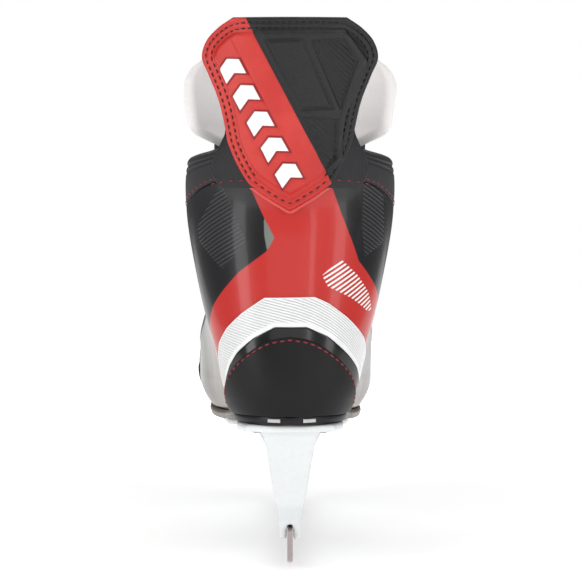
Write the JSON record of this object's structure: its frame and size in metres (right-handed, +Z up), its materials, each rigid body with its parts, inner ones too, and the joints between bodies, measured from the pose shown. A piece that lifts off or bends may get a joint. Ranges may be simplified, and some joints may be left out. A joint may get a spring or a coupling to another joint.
{
  "type": "ice hockey skate",
  "caption": "Right-foot ice hockey skate: composite boot with padded collar, laced felt tongue, flexible tendon guard, and a holder with a bolted steel runner.",
  "frame": {"origin": "on the ice under the middle of the bounding box, on the runner's middle plane", "axes": "+X to the wearer's right, +Y towards the toe, +Z up"},
  "size_m": [0.123, 0.303, 0.296],
  "materials": {
    "shell_composite": "clear-coated black composite",
    "red_shell": "red moulded shell under a satin clear coat",
    "white_band": "white moulded band with fine grooves",
    "ankle_synthetic": "matte coated synthetic",
    "moulded_rubber": "matte moulded thermoplastic",
    "lining": "brushed microfibre",
    "felt": "thick white felt",
    "lace_cotton": "woven white lace",
    "board": "pressed board and moulded foam",
    "white_nylon": "glass-filled white nylon, satin",
    "runner_steel": "hardened stainless steel, polished sides",
    "dark_steel": "dark plated steel"
  },
  "bodies": {
    "boot": {"quarter_left": "shell_composite", "quarter_right": "shell_composite", "liner_left": "lining", "liner_right": "lining", "collar_left": "ankle_synthetic", "collar_right": "ankle_synthetic", "facing_left": "ankle_synthetic", "facing_right": "ankle_synthetic", "heel_cap": "moulded_rubber", "heel_band": "white_band", "toe_cap": "moulded_rubber", "tendon_guard_base": "red_shell", "tongue_laced_part": "felt", "lace_guard": "moulded_rubber", "lace": "lace_cotton", "outsole": "shell_composite", "insole_board": "board", "footbed": "board", "blade_holder": "white_nylon", "rear_nut": "dark_steel", "front_nut": "dark_steel", "eyelet_left_01": "dark_steel", "eyelet_left_02": "dark_steel", "eyelet_left_03": "dark_steel", "eyelet_left_04": "dark_steel", "eyelet_left_05": "dark_steel", "eyelet_left_06": "dark_steel", "eyelet_left_07": "dark_steel", "eyelet_left_08": "dark_steel", "eyelet_left_09": "dark_steel", "eyelet_left_10": "dark_steel", "eyelet_left_11": "dark_steel", "eyelet_right_01": "dark_steel", "eyelet_right_02": "dark_steel", "eyelet_right_03": "dark_steel", "eyelet_right_04": "dark_steel", "eyelet_right_05": "dark_steel", "eyelet_right_06": "dark_steel", "eyelet_right_07": "dark_steel", "eyelet_right_08": "dark_steel", "eyelet_right_09": "dark_steel", "eyelet_right_10": "dark_steel", "eyelet_right_11": "dark_steel", "rivet_01": "dark_steel", "rivet_02": "dark_steel", "rivet_03": "dark_steel", "rivet_04": "dark_steel", "rivet_05": "dark_steel", "rivet_06": "dark_steel", "rivet_07": "dark_steel", "rivet_08": "dark_steel", "rivet_09": "dark_steel", "rivet_10": "dark_steel"},
    "tongue_top": {"tongue_flap": "felt", "tongue_badge": "moulded_rubber"},
    "tendon_flap": {"tendon_guard": "red_shell"},
    "runner_set": {"runner": "runner_steel", "rear_bolt": "dark_steel", "front_bolt": "dark_steel"}
  },
  "joints": [
    {"name": "tongue_fold", "type": "hinge", "parent": "boot", "child": "tongue_top", "pos_m": [0, -0.0322, 0.2308], "axis": [-1, 0, 0], "range_deg": [0, 70], "stiffness_Nm_per_rad": 0.25},
    {"name": "tendon_guard_flex", "type": "hinge", "parent": "boot", "child": "tendon_flap", "pos_m": [0, -0.137, 0.2302], "axis": [1, 0, 0], "range_deg": [0, 20], "stiffness_Nm_per_rad": 2},
    {"name": "runner_release", "type": "slide", "parent": "boot", "child": "runner_set", "axis": [0, 0, -1], "range_m": [0, 0.06]}
  ]
}
